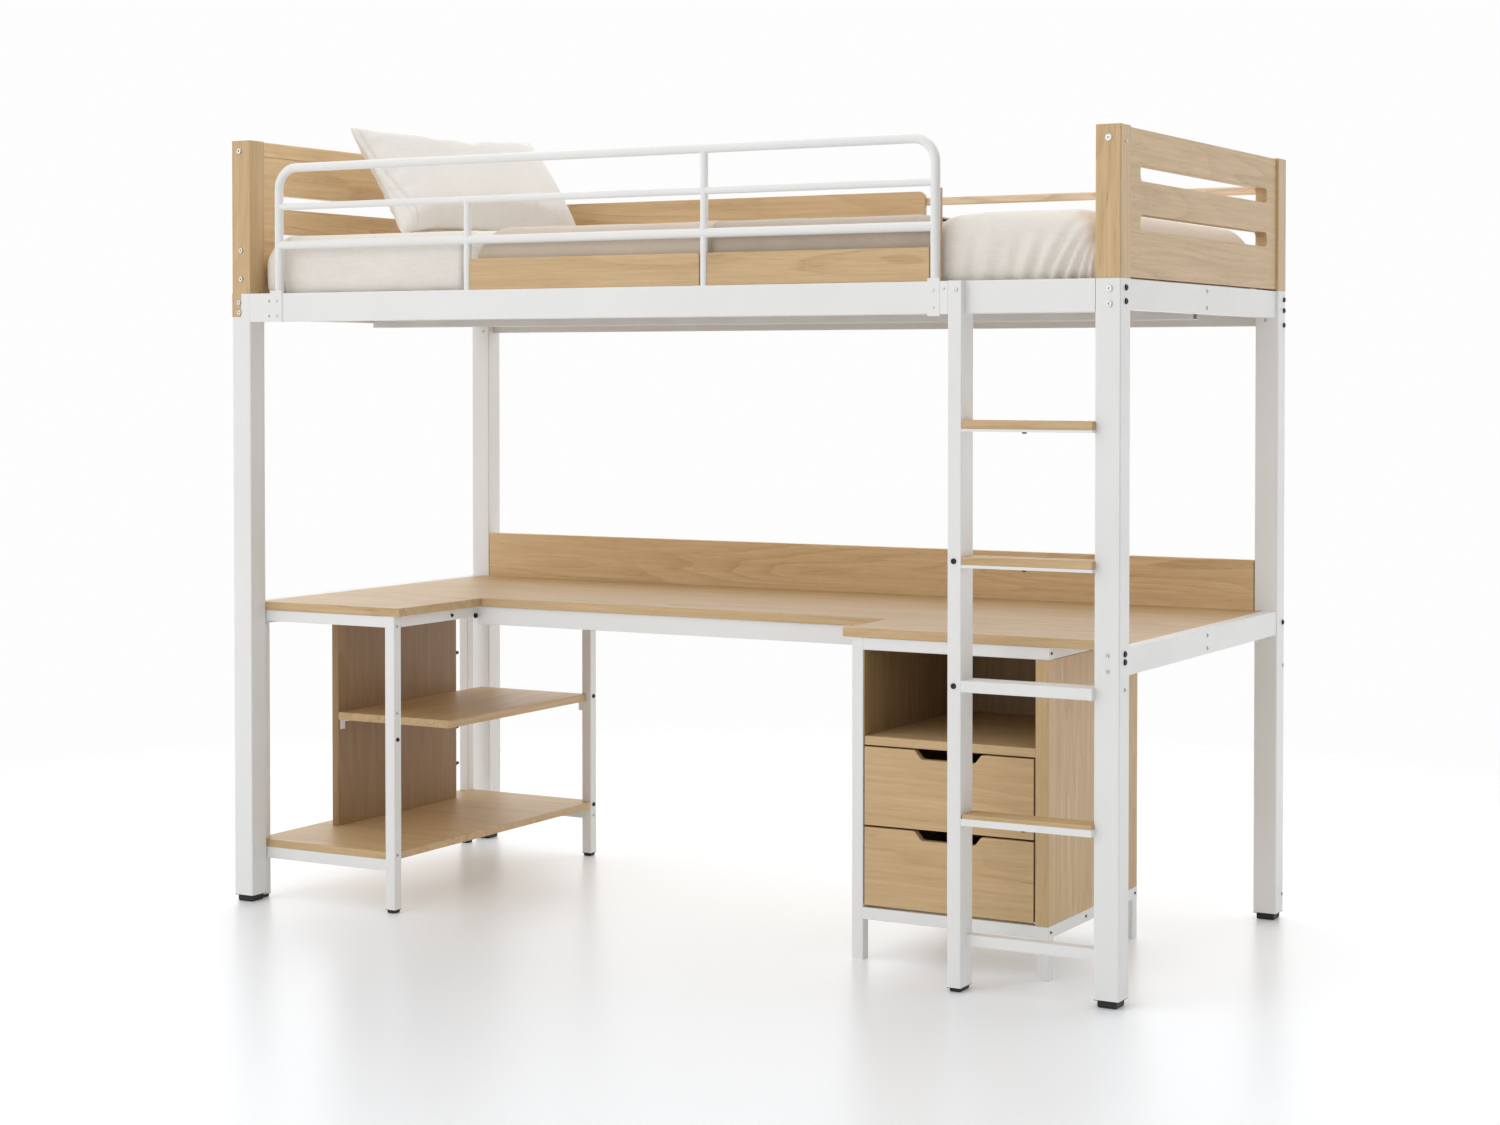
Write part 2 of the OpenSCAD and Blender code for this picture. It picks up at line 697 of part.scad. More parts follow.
// A bar of the ladder's depth whose front overlaps the post's face by a flange
module rung_block(z0, z1, front = ladder_front, inset = 0) {
    slab([rung_left + inset, front, z0], [rung_right - inset, ladder_front + tread_d, z1]);
    slab([rung_left + inset, front, z0], [rung_right + rung_flange - inset, y_front - 0.3, z1]);
}

// Pressed steel trays under the treads with a lip up the front, the bare rung and the crossbar
module ladder_rungs() color(steel_colour) {
    for (i = [0 : len(tread_tops) - 1]) {
        under = tread_tops[i] - tread_t;
        difference() {
            rung_block(under - 5, under + lip_heights[i] - 4);
            slab([rung_left - 1, ladder_front + 2, under], [rung_right + 1, ladder_front + tread_d + 1, under + 20]);
            slab([rung_right, ladder_front + 2, under], [rung_right + rung_flange - 1.5, y_front, under + 20]);
        }
    }
    difference() {
        union() {
            bar_x([rung_left, ladder_front, steel_rung_top - rung_h], [rung_right, ladder_front + tread_d, steel_rung_top]);
            slab([rung_right - 4, ladder_front, steel_rung_top - rung_h],
                 [rung_right + rung_flange, y_front - 0.3, steel_rung_top - 1]);
        }
        slab([rung_left - 1, ladder_front + 1.5, steel_rung_top - rung_h + 1.5],
             [rung_right - 6, ladder_front + tread_d - 1.5, steel_rung_top - 1.5]);
    }
    tube_x([rung_left, y_front + 8, crossbar_top - rung_h], [rung_right, y_front + 33, crossbar_top]);
}

module ladder_treads() color(wood_colour) {
    for (i = [0 : len(tread_tops) - 1]) {
        lip = lip_heights[i] - 4;
        under = tread_tops[i] - tread_t;
        behind_lip = lip > 4;
        rung_block(under + (behind_lip ? 0 : max(lip, 0)), tread_tops[i], ladder_front + (behind_lip ? 2 : 0),
                   behind_lip ? 1.6 : 0.5);
    }
}

// ---------- bedding ----------

module soft_block(a, b, r) hull()
    for (x = [a.x + r, b.x - r], y = [a.y + r, b.y - r], z = [a.z + r, b.z - r])
        translate([x, y, z]) sphere(r = r, $fn = 20);

module mattress() color(cloth_colour)
    soft_block([-mattress_len / 2, y_middle - mattress_width / 2, slat_top],
               [mattress_len / 2, y_middle + mattress_width / 2, slat_top + mattress_h], mattress_r);

// A plump cushion leaning back on the headboard
module pillow() color(cloth_colour)
    translate([x_left + 186, y_front + 590, slat_top + mattress_h + 128]) rotate([0, 0, -5]) rotate([0, 58, 0])
        hull() {
            for (x = [-125, 125], y = [-pillow_len / 2 + 22, pillow_len / 2 - 22])
                translate([x, y, 0]) sphere(r = 20, $fn = 16);
            scale([1.35, 2.6, 0.72]) sphere(r = 88, $fn = 20);
        }

// A cloth over the mattress from x0 to x1 that hangs down at the front, thickness t
module cover(x0, x1, t) {
    top = slat_top + mattress_h;
    front = y_middle - mattress_width / 2;
    slab([x0, front - 5.5, top + 0.3], [x1, y_middle + mattress_width / 2 - 10, top + t]);
    slab([x0, front - 5.5, rail_top + 8], [x1, front - 0.5, top + 1]);
}

module blanket() color([0.80, 0.77, 0.72]) cover(x_left + 638, throw_left - 3, 11);
module throw() color([0.72, 0.68, 0.63]) cover(throw_left, x_left + 1682, 13);

// ---------- fasteners ----------

module frame_bolts() color(bolt_colour) {
    // Bed rails, desk beams and wooden posts, on the front and the rear faces of the
    // posts: distance from the left side, height, diameter
    for (p = [[2058, 1322, 13], [2058, 1294, 13], [2056, 650, 8], [2056, 621, 8], [2056, 1597, 13],
              [22, 1654, 13], [20, 1322, 11], [21, 1300, 11], [26, 1436, 11], [26, 1373, 11]]) {
        facing_front([x_left + p[0], y_front, p[1]]) bolt_head(p[2]);
        facing_rear([x_left + p[0], y_rear, p[1]]) bolt_head(p[2]);
    }
    // End beams, on the outer faces of the left posts
    for (y = [y_front + 17, y_rear - 17], z = [1320, 1298, 630, 570])
        facing_left([x_left, y, z]) bolt_head();
    // Small screws in the right posts
    facing_right([x_right, y_front + 25, 1591]) bolt_head(6, 1.5);
    facing_right([x_right, y_front + 27, 586]) bolt_head(7, 2);
    facing_right([x_right, y_rear - 9, 543]) bolt_head(7, 2);
    facing_right([x_right, y_rear - 10, 52]) bolt_head(7, 2);
    facing_front([x_right - 28, y_rear - post, 1279]) bolt_head(7, 2);
    facing_front([x_left + 34, y_rear - post, 1270]) bolt_head(7, 2);
    // Small screws in the shelf unit's right legs
    for (z = [621, 433, 126])
        facing_right([unit_right, unit_front + 11, z]) bolt_head(7, 1.5);
    facing_right([unit_right, unit_rear - 13, 99]) bolt_head(7, 1.5);
    // Screws at the middle of the end beams
    for (z = [rail_top - 12, rail_top - 45])
        facing_right([x_right - end_beam_recess, y_middle, z]) bolt_head(8, 2);
    for (z = [desk_top - 14, desk_top - 39])
        facing_right([x_right - 2, y_middle, z]) bolt_head(8, 2);
    // Screws in the guard's plates and the ladder's top
    for (z = [1324, 1291]) {
        facing_front([guard_left + 2, y_front - 2.5, z]) bolt_head(6, 1.5);
        facing_front([guard_right + 1, y_front - 2.5, z]) bolt_head(6, 1.5);
        facing_front([guard_left - 20, y_front - 1.5, z]) bolt_head(6, 1.5);
    }
    facing_front([guard_right + 22, y_front - 1.5, 1327]) bolt_head(6, 1.5);
    facing_front([stile_right - 12, ladder_front, 1324]) bolt_head(9, 2);
}

module unit_screws() color(black_colour) {
    // End beams, on the outer faces of the right posts
    for (z = [1324, 1299, 652, 637])
        facing_right([x_right, y_front + 26, z]) bolt_head(12, 3);
    for (z = [1323, 1300, 1269, 635])
        facing_right([x_right, y_rear - 12, z]) bolt_head(11, 3);
    // Rung bolts in the stile
    for (z = [814, 579])
        facing_front([stile_left + 13, ladder_front, z]) bolt_head(11, 3);
    // Shelf unit's legs, on their right faces
    facing_right([unit_right, unit_front + 11, 376]) bolt_head(9, 3);
    for (z = [387, 125])
        facing_right([unit_right, unit_rear - 13, z]) bolt_head(10, 3);
    // Rail along the unit's right side, under the desk
    facing_right([unit_right, y_front + 265, 629]) bolt_head(8, 3);
    facing_right([unit_right, y_front + 355, 621]) bolt_head(12, 4);
    // Rear edge of the side panel
    for (z = [485, 304, 215])
        facing_rear([side_panel_x + board_t - 6, side_panel_rear, z]) bolt_head(10, 13);
    // Pedestal's rails, on their right faces
    for (y = [ped_front + 12, ped_front + 190, ped_rear - 12]) {
        facing_right([ped_right, y, desk_under - 13]) bolt_head(6, 1.5);
        facing_right([ped_right, y, ped_base_low + 12]) bolt_head(6, 1.5);
    }
    // Clips that hold the treads in their trays
    for (i = [0 : len(tread_tops) - 1])
        translate([x_left + 1894, ladder_front + 10, tread_tops[i] - tread_t - 5])
            rotate([180, 0, 0]) bolt_head(10, 3);
}

steel_post_front_left();
steel_post_front_right();
steel_post_rear_left();
steel_post_rear_right();
frame_feet();
front_side_rail();
rear_side_rail();
bed_end_beams();
slat_support_beam();
bed_slats();
wood_post_front_left();
wood_post_front_right();
wood_post_rear_left();
wood_post_rear_right();
headboard_panel();
headboard_cap_rail();
footboard_panel();
front_guard_rail();
guard_boards();
back_guard_rail();
back_board();
desk_end_beams();
desk_cross_beams();
desk_board_left();
desk_board_middle();
desk_board_right();
desk_backsplash();
shelf_unit_front_frame();
shelf_unit_rear_frame();
shelf_unit_rails();
shelf_side_panel();
shelf_middle_board();
shelf_bottom_boards();
shelf_brackets();
unit_feet();
pedestal_left_frame();
pedestal_top_frame();
pedestal_base_frame();
pedestal_left_panel();
pedestal_right_panel();
pedestal_back_panel();
cubby_floor();
upper_drawer_front();
upper_drawer_box();
lower_drawer_front();
lower_drawer_box();
runner_cabinet_members();
upper_runner_middles();
lower_runner_middles();
upper_runner_inners();
lower_runner_inners();
ladder_stile();
ladder_rungs();
ladder_treads();
mattress();
pillow();
blanket();
throw();
frame_bolts();
unit_screws();
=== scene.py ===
import json
import math

import bmesh
import bpy
import numpy as np
from mathutils import Matrix, Vector, noise

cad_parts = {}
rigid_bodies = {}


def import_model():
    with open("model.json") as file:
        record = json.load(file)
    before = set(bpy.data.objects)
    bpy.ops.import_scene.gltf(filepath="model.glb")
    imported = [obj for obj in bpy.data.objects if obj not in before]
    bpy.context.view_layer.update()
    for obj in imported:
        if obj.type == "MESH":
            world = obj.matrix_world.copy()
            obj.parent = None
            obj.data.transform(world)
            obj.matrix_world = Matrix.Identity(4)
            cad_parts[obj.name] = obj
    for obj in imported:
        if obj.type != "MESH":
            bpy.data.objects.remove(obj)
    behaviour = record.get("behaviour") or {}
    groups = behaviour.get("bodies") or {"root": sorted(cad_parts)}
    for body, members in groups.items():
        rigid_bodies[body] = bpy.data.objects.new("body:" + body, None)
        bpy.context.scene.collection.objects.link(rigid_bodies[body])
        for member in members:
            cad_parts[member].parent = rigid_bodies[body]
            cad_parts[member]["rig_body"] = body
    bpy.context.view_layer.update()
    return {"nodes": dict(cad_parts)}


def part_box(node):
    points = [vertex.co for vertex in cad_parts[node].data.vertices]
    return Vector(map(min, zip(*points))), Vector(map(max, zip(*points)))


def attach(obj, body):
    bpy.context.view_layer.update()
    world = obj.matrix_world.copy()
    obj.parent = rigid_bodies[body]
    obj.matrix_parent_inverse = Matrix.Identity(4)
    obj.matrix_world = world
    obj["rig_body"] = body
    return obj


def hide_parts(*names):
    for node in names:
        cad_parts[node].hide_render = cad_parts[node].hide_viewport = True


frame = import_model()
nodes = frame["nodes"]


# ---------- node graphs ----------

def graph(name):
    """A new material: (material, its tree, its Principled shader)."""
    mat = bpy.data.materials.new(name)
    mat.use_nodes = True
    tree = mat.node_tree
    tree.nodes.clear()
    out = tree.nodes.new("ShaderNodeOutputMaterial")
    shader = tree.nodes.new("ShaderNodeBsdfPrincipled")
    tree.links.new(shader.outputs[0], out.inputs[0])
    return mat, tree, shader


def wire(tree, target, value):
    """Links the target to a socket, or sets it to a plain value."""
    if isinstance(value, bpy.types.NodeSocket):
        tree.links.new(value, target)
    else:
        target.default_value = value


def add(tree, kind, inputs=None, out=0, **props):
    """A node of that kind with its inputs set or linked; returns one of its outputs."""
    n = tree.nodes.new("ShaderNode" + kind)
    for key, value in props.items():
        setattr(n, key, value)
    for key, value in (inputs or {}).items():
        wire(tree, n.inputs[key], value)
    return n.outputs[out]


def ramp(tree, factor, stops):
    """A grey ramp through (place, value) stops."""
    n = tree.nodes.new("ShaderNodeValToRGB")
    tree.links.new(factor, n.inputs[0])
    while len(n.color_ramp.elements) < len(stops):
        n.color_ramp.elements.new(0.5)
    for e, (place, value) in zip(n.color_ramp.elements, stops):
        e.position = place
        e.color = (value, value, value, 1)
    return n.outputs[0]


def math_node(tree, operation, a, b=0.0):
    """The result of a sum on a and b."""
    return add(tree, "Math", {0: a, 1: b}, operation=operation)


def times(tree, a, b):
    """a multiplied by b."""
    return math_node(tree, "MULTIPLY", a, b)


def mix(tree, factor, a, b):
    """Mixed colour of a and b."""
    n = tree.nodes.new("ShaderNodeMix")
    n.data_type = "RGBA"
    for socket, value in ((n.inputs[0], factor), (n.inputs[6], a), (n.inputs[7], b)):
        if hasattr(value, "__len__") and not isinstance(value, bpy.types.NodeSocket):
            value = (*value, 1)
        wire(tree, socket, value)
    return n.outputs[2]


def object_coords(tree, scale=(1, 1, 1), shift=(0, 0, 0)):
    """The object's own coordinates, scaled and shifted."""
    here = add(tree, "TexCoord", out="Object")
    return add(tree, "Mapping", {"Vector": here, "Scale": scale, "Location": shift})


def noise_at(tree, vector, scale, detail=2.0, rough=0.5, distortion=0.0):
    """Cloudy noise from 0 to 1."""
    return add(tree, "TexNoise", {"Vector": vector, "Scale": scale, "Detail": detail,
                                  "Roughness": rough, "Distortion": distortion})


def bump(tree, shader, height, distance, strength, below=None):
    """Bumps the shader's surface, on top of the bump below it, and returns the new bump."""
    inputs = {"Height": height, "Distance": distance, "Strength": strength}
    if below is not None:
        inputs["Normal"] = below
    out = add(tree, "Bump", inputs)
    tree.links.new(out, shader.inputs["Normal"])
    return out


def set_rough(tree, shader, factor, stops):
    """Lets the shader's roughness follow the factor through the ramp's stops."""
    tree.links.new(ramp(tree, factor, stops), shader.inputs["Roughness"])


def dim(colour, factor):
    """The colour with each channel multiplied by the factor."""
    return [c * factor for c in colour]


# ---------- materials ----------

def wood(name, axis, light, mid, dark, shift, rings=15.0, figure=0.55):
    """Wood with its grain along axis: growth rings that loop, fibres, and short dark pores.

    More rings lie closer together, and figure is how strongly they show."""
    mat, tree, shader = graph(name)

    def grain(along, across, offset=0.0):
        scale = [across] * 3
        scale["XYZ".index(axis)] = along
        return object_coords(tree, scale, [v + offset for v in shift])

    slow = noise_at(tree, grain(0.75, 8.0), 1.0, 1.8, 0.45, 0.3)
    waver = noise_at(tree, grain(3.2, 38, 3.1), 1.0, 2.0, 0.5)
    wavy = math_node(tree, "MULTIPLY_ADD", waver, 0.03)
    tree.links.new(slow, wavy.node.inputs[2])
    turns = math_node(tree, "FRACT", times(tree, wavy, rings))
    ring = ramp(tree, turns, [(0.0, 0.0), (0.5, 0.16), (0.84, 0.85), (0.93, 1.0), (1.0, 0.0)])
    patches = noise_at(tree, grain(1.2, 7.5, 7.7), 1.0, 2.0)
    ring = times(tree, ring, ramp(tree, patches, [(0.36, 0.12), (0.62, 1.0)]))
    fibre = noise_at(tree, grain(4.5, 135, 1.3), 1.0, 4.0, 0.7)
    streaks = noise_at(tree, grain(1.6, 68, 5.2), 1.0, 3.0, 0.6)
    streak = ramp(tree, streaks, [(0.36, 0.0), (0.64, 1.0)])
    streak_colour = [0.7 * m + 0.3 * d for m, d in zip(mid, dark)]
    pores = noise_at(tree, grain(26, 700, 2.6), 1.0, 1.0, 0.4)
    pore = ramp(tree, pores, [(0.60, 0.0), (0.68, 1.0)])
    pore = times(tree, pore, ramp(tree, ring, [(0.0, 0.4), (0.7, 1.0)]))
    board_tone = noise_at(tree, grain(0.35, 1.1, 9.4), 1.0, 1.0)
    colour = mix(tree, ramp(tree, fibre, [(0.34, 0.0), (0.66, 1.0)]), light, mid)
    colour = mix(tree, times(tree, streak, 0.5), colour, streak_colour)
    colour = mix(tree, times(tree, ring, figure), colour, dark)
    colour = mix(tree, times(tree, pore, 0.4), colour, dim(dark, 0.6))
    colour = mix(tree, ramp(tree, board_tone, [(0.35, 0.0), (0.65, 0.25)]), colour, dim(mid, 0.9))
    tree.links.new(colour, shader.inputs["Base Color"])
    set_rough(tree, shader, fibre, [(0.25, 0.40), (0.75, 0.52)])
    shader.inputs["Specular IOR Level"].default_value = 0.42
    first = bump(tree, shader, fibre, 0.00012, 0.5)
    bump(tree, shader, math_node(tree, "SUBTRACT", 1.0, pore), 0.00015, 0.6, first)
    return mat


def powder_coat(name, colour, rough):
    """Satin powder coat: a fine orange-peel texture and slightly uneven gloss."""
    mat, tree, shader = graph(name)
    at = object_coords(tree)
    cloud = ramp(tree, noise_at(tree, at, 5.0, 2.0), [(0.35, 0.0), (0.65, 1.0)])
    tree.links.new(mix(tree, cloud, colour, dim(colour, 0.975)), shader.inputs["Base Color"])
    set_rough(tree, shader, noise_at(tree, at, 34.0, 3.0), [(0.3, rough - 0.05), (0.7, rough + 0.06)])
    shader.inputs["Specular IOR Level"].default_value = 0.45
    peel = noise_at(tree, at, 620.0, 2.0, 0.45)
    waves = noise_at(tree, at, 95.0, 1.0)
    bump(tree, shader, waves, 0.00035, 0.25, bump(tree, shader, peel, 0.00008, 0.5))
    return mat


def metal(name, colour, rough, uneven=0.04):
    """Zinc-plated or blackened steel, with uneven gloss, small spots, and painted shade that darkens its
    crevices.
    """
    mat, tree, shader = graph(name)
    at = object_coords(tree)
    spots = ramp(tree, noise_at(tree, at, 260.0, 3.0), [(0.35, 0.0), (0.7, 1.0)])
    plain = mix(tree, spots, colour, dim(colour, 0.78))
    # Painted shade: ambient occlusion darkens the colour in crevices, round the bolt heads' bases and in
    # their sockets
    open_sky = add(tree, "AmbientOcclusion", {"Distance": 0.004}, out="AO", samples=8)
    clear = ramp(tree, open_sky, [(0.3, 0.0), (0.85, 1.0)])
    tree.links.new(mix(tree, clear, dim(colour, 0.1), plain), shader.inputs["Base Color"])
    set_rough(tree, shader, noise_at(tree, at, 480.0, 2.0), [(0.3, rough - uneven), (0.7, rough + uneven)])
    shader.inputs["Metallic"].default_value = 1.0
    bump(tree, shader, noise_at(tree, at, 900.0, 2.0), 0.00005, 0.35)
    return mat


def plastic(name, colour, rough):
    """Moulded plastic with a fine eroded grain."""
    mat, tree, shader = graph(name)
    at = object_coords(tree)
    cloud = noise_at(tree, at, 60.0, 2.0)
    tree.links.new(mix(tree, cloud, colour, dim(colour, 1.5)), shader.inputs["Base Color"])
    set_rough(tree, shader, noise_at(tree, at, 240.0), [(0.3, rough - 0.06), (0.7, rough + 0.08)])
    bump(tree, shader, noise_at(tree, at, 1300.0, 1.0), 0.0001, 0.5)
    return mat


def cloth(name, colour, shade, thread, rough=0.85, sheen=0.25, nap=0.0):
    """Woven cotton: threads of that size along the faces, slubs, soft clouding, and painted shade along its
    seams and hems.

    nap is the strength of the brushed fuzz on it."""
    mat, tree, shader = graph(name)
    at = object_coords(tree)
    cloud = noise_at(tree, at, 7.0, 3.0)
    slub = noise_at(tree, object_coords(tree, (40, 40, 420)), 1.0, 2.0)
    cross = noise_at(tree, object_coords(tree, (420, 420, 40), (3, 1, 2)), 1.0, 2.0)
    turn = 2 * math.pi / thread
    parts = add(tree, "SeparateXYZ", {0: at}).node
    sines = []
    for axis in "XYZ":
        wave = math_node(tree, "SINE", times(tree, parts.outputs[axis], turn))
        sines.append(math_node(tree, "ABSOLUTE", wave))
    weave = times(tree, math_node(tree, "ADD", sines[0], sines[1]), sines[2])
    tone = mix(tree, ramp(tree, cloud, [(0.3, 0.0), (0.7, 1.0)]), colour, shade)
    tone = mix(tree, ramp(tree, slub, [(0.5, 0.0), (0.72, 0.3)]), tone, dim(shade, 0.86))
    tone = mix(tree, ramp(tree, cross, [(0.5, 0.0), (0.72, 0.25)]), tone, dim(shade, 0.88))
    # Painted shade in the creases of seams and hems, as strong as each point's seam attribute
    seam = add(tree, "Attribute", out="Fac", attribute_name="seam")
    tone = mix(tree, seam, tone, dim(shade, 0.5))
    tree.links.new(tone, shader.inputs["Base Color"])
    set_rough(tree, shader, cloud, [(0.3, rough - 0.05), (0.7, rough + 0.06)])
    shader.inputs["Specular IOR Level"].default_value = 0.2
    shader.inputs["Sheen Weight"].default_value = sheen
    shader.inputs["Sheen Roughness"].default_value = 0.45
    below = bump(tree, shader, weave, 0.00022, 0.45)
    below = bump(tree, shader, math_node(tree, "ADD", slub, cross), 0.0003, 0.4, below)
    if nap:
        below = bump(tree, shader, noise_at(tree, at, 900.0, 2.0), 0.0004, nap, below)
    bump(tree, shader, noise_at(tree, at, 22.0, 3.0, 0.55), 0.004, 0.35, below)
    return mat


OAK = dict(light=(0.70, 0.50, 0.275), mid=(0.585, 0.40, 0.205), dark=(0.42, 0.262, 0.118))


def oak(name, axis, shift, tone=(1, 1, 1), figure=0.55):
    """Oak laminate, its three colours multiplied by tone, which the lighter and darker copies use for
    painted light and shade; figure is how strongly its rings show.
    """
    colours = {k: [c * f for c, f in zip(v, tone)] for k, v in OAK.items()}
    return wood(name, axis, shift=shift, figure=figure, **colours)


oak_along_x = oak("oak_along_x", "X", (0.3, 1.7, 0.9))
oak_along_y = oak("oak_along_y", "Y", (2.1, 0.4, 3.3))
oak_along_z = oak("oak_along_z", "Z", (1.2, 2.9, 0.1), figure=0.36)
# Painted light: lighter copies of the oak for the backsplash and the headboard
oak_backsplash_painted_light = oak("oak_backsplash_painted_light", "X", (0.3, 2.6, 1.4), (1.18, 1.2, 1.24))
oak_headboard_painted_light = oak("oak_headboard_painted_light", "Y", (3.1, 0.7, 2.3), (1.28, 1.32, 1.38))
# Painted highlight: an oak copy pushed towards white for the thin back guard rail
oak_painted_highlight = oak("oak_back_rail_painted_highlight", "X", (0.3, 2.6, 1.4), (1.28, 1.46, 1.95))
# Painted shade: a darker oak copy for the shelf unit's side panel, which lies in shade
oak_painted_shade = oak("oak_painted_shade", "Z", (2.2, 1.9, 4.1), (0.54, 0.47, 0.38))
# Painted shade: a darker oak copy for the pedestal's inside and the gaps beside its drawers
oak_painted_dark_shade = oak("oak_painted_dark_shade", "Z", (0.2, 3.9, 1.1), (0.62, 0.61, 0.58))
pine = wood("sanded_softwood", "Y", light=(0.58, 0.45, 0.31), mid=(0.52, 0.39, 0.25),
            dark=(0.43, 0.29, 0.17), shift=(4.0, 0.2, 1.1), rings=14.0)
board_x = wood("drawer_box_board", "X", light=(0.72, 0.56, 0.38), mid=(0.66, 0.49, 0.32),
               dark=(0.56, 0.39, 0.24), shift=(0.7, 5.1, 2.2), rings=7.0)
white_steel = powder_coat("white_powder_coat", (0.84, 0.835, 0.82), 0.40)
# Painted shade: a darker copy of the white powder coat for the parts that lie in shade under the bed
steel_painted_shade = powder_coat("white_powder_coat_painted_shade", (0.70, 0.69, 0.665), 0.45)
black_plastic = plastic("black_foot_plastic", (0.006, 0.006, 0.0065), 0.6)
zinc = metal("zinc_bolt_heads", (0.62, 0.62, 0.625), 0.40)
black_oxide = metal("black_oxide_screws", (0.045, 0.045, 0.048), 0.42)
runner_zinc = metal("zinc_runner_steel", (0.66, 0.67, 0.69), 0.28, 0.06)
sheet_cotton = cloth("cream_sheet_cotton", (0.91, 0.862, 0.80), (0.87, 0.818, 0.75), 0.0016)
pillow_cotton = cloth("cream_pillowcase", (0.94, 0.905, 0.86), (0.90, 0.86, 0.805), 0.0014)
blanket_cotton = cloth("beige_brushed_cotton", (0.73, 0.625, 0.52), (0.66, 0.56, 0.46), 0.0030,
                       rough=0.9, sheen=0.5, nap=0.4)
throw_cotton = cloth("grey_brushed_cotton", (0.59, 0.507, 0.42), (0.53, 0.455, 0.372), 0.0030,
                     rough=0.9, sheen=0.5, nap=0.4)


# ---------- meshes ----------

def new_piece(name, mesh, body, material):
    """A smooth-shaded object for the mesh that rides on the body and takes the slot's finish."""
    piece = bpy.data.objects.new(name, mesh)
    bpy.context.scene.collection.objects.link(piece)
    mesh.materials.clear()
    mesh.materials.append(material)
    mesh.polygons.foreach_set("use_smooth", [True] * len(mesh.polygons))
    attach(piece, body)
    return piece


def mesh_from(name, points, faces):
    """A new mesh of the points and faces."""
    mesh = bpy.data.meshes.new(name)
    mesh.from_pydata([tuple(p) for p in points], [], faces)
    mesh.update()
    return mesh


def apply_modifiers(piece):
    """Replaces the piece's mesh by what its modifiers make of it."""
    bpy.context.view_layer.update()
    seen = piece.evaluated_get(bpy.context.evaluated_depsgraph_get())
    made = bpy.data.meshes.new_from_object(seen)
    made.name = piece.name
    old = piece.data
    piece.modifiers.clear()
    piece.data = made
    bpy.data.meshes.remove(old)


def subdivide(piece, levels):
    """Adds a subdivision surface to the piece."""
    finer = piece.modifiers.new("finer", "SUBSURF")
    finer.levels = finer.render_levels = levels


def soften(node, material, width=0.0013, segments=2):
    """A board that stands for a CAD node: the same solid with its sharp edges rounded off."""
    weld, flat_angle, sharp_angle = 2e-6, math.radians(0.5), math.radians(35)
    source = nodes[node]
    mesh = source.data.copy()
    for name in ("custom_normal", "sharp_edge", "sharp_face"):
        if name in mesh.attributes:
            mesh.attributes.remove(mesh.attributes[name])
    bm = bmesh.new()
    bm.from_mesh(mesh)
    bmesh.ops.remove_doubles(bm, verts=bm.verts, dist=weld)
    bmesh.ops.dissolve_limit(bm, angle_limit=flat_angle, verts=bm.verts, edges=bm.edges)
    bm.to_mesh(mesh)
    bm.free()
    piece = new_piece(node + "_board", mesh, source["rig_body"], material)
    bevel = piece.modifiers.new("edges", "BEVEL")
    bevel.width = width
    bevel.segments = segments
    bevel.limit_method = "ANGLE"
    bevel.angle_limit = sharp_angle
    bevel.harden_normals = False
    normals = piece.modifiers.new("normals", "WEIGHTED_NORMAL")
    normals.keep_sharp = False
    normals.weight = 80
    apply_modifiers(piece)
    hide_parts(node)
    return piece


def paint_shade_inside(board, both_sides):
    """Gives the board's left face, or both its side faces, the painted shade of the pedestal's inside: a
    darker oak copy.
    """
    board.data.materials.append(oak_painted_dark_shade)
    for face in board.data.polygons:
        sideways = abs(face.normal.x) if both_sides else -face.normal.x
        face.material_index = int(sideways > 0.9)


FINISHES = {
    white_steel: ["steel_post_front_left", "steel_post_front_right", "steel_post_rear_left",
                  "steel_post_rear_right", "front_side_rail", "bed_end_beams", "front_guard_rail",
                  "desk_end_beams", "desk_cross_beams", "shelf_unit_front_frame",
                  "shelf_unit_rear_frame", "shelf_unit_rails", "shelf_brackets",
                  "pedestal_left_frame", "pedestal_top_frame", "pedestal_base_frame",
                  "ladder_stile", "ladder_rungs"],
    # Painted shade: the rear rail and the slat beam take the darker powder coat copy
    steel_painted_shade: ["rear_side_rail", "slat_support_beam"],
    runner_zinc: ["runner_cabinet_members", "upper_runner_middles", "lower_runner_middles",
                  "upper_runner_inners", "lower_runner_inners"],
    black_plastic: ["frame_feet", "unit_feet"],
    zinc: ["frame_bolts"],
    black_oxide: ["unit_screws"],
}
for material, names in FINISHES.items():
    for name in names:
        for material_slot in nodes[name].material_slots:
            material_slot.link = "OBJECT"
            material_slot.material = material

BOARDS = {
    oak_along_x: ["guard_boards", "back_board", "desk_board_left", "desk_board_middle",
                  "desk_board_right", "shelf_bottom_boards", "cubby_floor",
                  "upper_drawer_front", "lower_drawer_front", "ladder_treads"],
    oak_along_y: ["footboard_panel", "shelf_middle_board"],
    oak_along_z: ["wood_post_front_left", "wood_post_front_right", "wood_post_rear_left",
                  "wood_post_rear_right", "pedestal_right_panel"],
    # Painted light: a lighter oak copy for the backsplash
    oak_backsplash_painted_light: ["desk_backsplash"],
    # Painted light: a lighter oak copy for the headboard
    oak_headboard_painted_light: ["headboard_panel"],
    # Painted shade: a darker oak copy for the shelf unit's side panel
    oak_painted_shade: ["shelf_side_panel"],
    # Painted shade: the pedestal's inner panels take the darker oak copy
    oak_painted_dark_shade: ["pedestal_left_panel", "pedestal_back_panel"],
}
boards = {name: soften(name, material) for material, names in BOARDS.items() for name in names}
